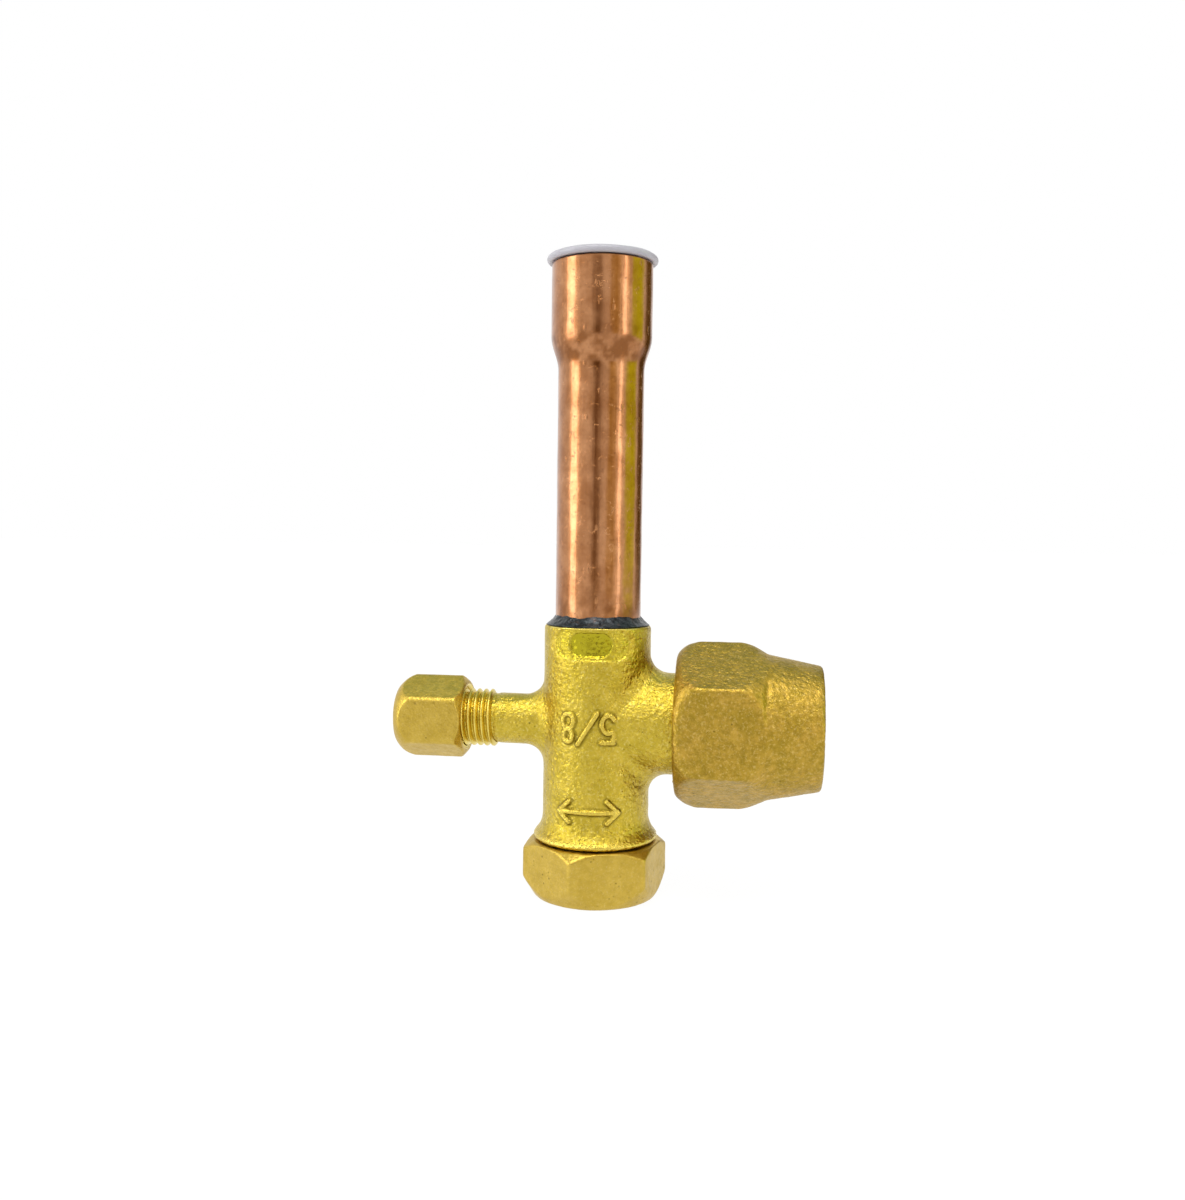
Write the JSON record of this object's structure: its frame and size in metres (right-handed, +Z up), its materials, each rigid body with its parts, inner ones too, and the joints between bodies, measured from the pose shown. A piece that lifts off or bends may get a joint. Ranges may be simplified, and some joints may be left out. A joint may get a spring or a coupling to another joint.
{
  "type": "refrigerant service valve",
  "caption": "Forged brass angle valve with a belled copper stub, a flare nut, a capped service port and a stem under a hexagon cap.",
  "frame": {"origin": "centre of the stem cap's flat end face, on the valve's main axis", "axes": "+Z up the main axis to the open end of the copper stub, +X out of the flare port, -X out of the service port"},
  "size_m": [0.0794, 0.0276, 0.1184],
  "materials": {
    "forged_brass": "fine sand-blasted forging",
    "nut_brass": "matte, fine speckle",
    "cap_brass": "matte, edges worn bright",
    "turned_brass": "bright turned",
    "copper": "drawn copper, lightly scratched",
    "braze": "dark fluxed braze, semi-gloss",
    "soft_plastic": "translucent soft plastic",
    "seal_rubber": "satin black rubber",
    "white_polymer": "white sealing polymer",
    "spring_steel": "bright spring steel"
  },
  "bodies": {
    "valve": {"valve_body": "forged_brass", "copper_stub": "copper", "braze_fillet": "braze", "stem_retaining_ring": "spring_steel", "core_barrel": "turned_brass", "core_barrel_seal": "white_polymer", "core_spring": "spring_steel"},
    "end_plug": {"tube_plug": "soft_plastic"},
    "stem_seals": {"stem_o_ring_outer": "seal_rubber", "stem_o_ring_inner": "seal_rubber"},
    "stem": {"valve_stem": "turned_brass"},
    "cap_gasket": {"stem_cap_gasket": "white_polymer"},
    "cap": {"stem_cap": "cap_brass"},
    "bonnet": {"flare_seal_bonnet": "copper"},
    "nut": {"flare_nut": "nut_brass"},
    "service_gasket": {"service_cap_gasket": "seal_rubber"},
    "service_cap": {"service_cap": "cap_brass"},
    "core_stem": {"core_pin": "turned_brass", "core_pin_seal": "seal_rubber", "core_pin_cup": "turned_brass"}
  },
  "joints": [
    {"name": "end_plug_pull", "type": "slide", "parent": "valve", "child": "end_plug", "axis": [0, 0, 1], "range_m": [0, 0.012]},
    {"name": "stem_travel", "type": "slide", "parent": "valve", "child": "stem_seals", "axis": [0, 0, 1], "range_m": [0, 0.007]},
    {"name": "stem_turn", "type": "hinge", "parent": "stem_seals", "child": "stem", "pos_m": [0, 0, 0.02], "axis": [0, 0, 1], "range_deg": [0, 2522]},
    {"name": "stem_cap_travel", "type": "slide", "parent": "valve", "child": "cap_gasket", "axis": [0, 0, -1], "range_m": [0, 0.00635]},
    {"name": "stem_cap_turn", "type": "hinge", "parent": "cap_gasket", "child": "cap", "pos_m": [0, 0, 0.005], "axis": [0, 0, -1], "range_deg": [0, 1442]},
    {"name": "flare_nut_travel", "type": "slide", "parent": "valve", "child": "bonnet", "axis": [1, 0, 0], "range_m": [0, 0.0127]},
    {"name": "flare_nut_turn", "type": "hinge", "parent": "bonnet", "child": "nut", "pos_m": [0.028, 0, 0.0325], "axis": [1, 0, 0], "range_deg": [0, 2522]},
    {"name": "service_cap_travel", "type": "slide", "parent": "valve", "child": "service_gasket", "axis": [-1, 0, 0], "range_m": [0, 0.00635]},
    {"name": "service_cap_turn", "type": "hinge", "parent": "service_gasket", "child": "service_cap", "pos_m": [-0.031, 0, 0.0325], "axis": [-1, 0, 0], "range_deg": [0, 1802]},
    {"name": "core_pin_press", "type": "slide", "parent": "valve", "child": "core_stem", "axis": [1, 0, 0], "range_m": [0, 0.0016], "stiffness_N_per_m": 1500, "springref_m": -0.002, "deforming": ["core_spring"]}
  ],
  "couplings": [
    {"joint": "stem_turn", "follows": "stem_travel", "rad_per_m": 6283.2},
    {"joint": "stem_cap_turn", "follows": "stem_cap_travel", "rad_per_m": 3957.9},
    {"joint": "flare_nut_turn", "follows": "flare_nut_travel", "rad_per_m": 3463.2},
    {"joint": "service_cap_turn", "follows": "service_cap_travel", "rad_per_m": 4947.4}
  ]
}
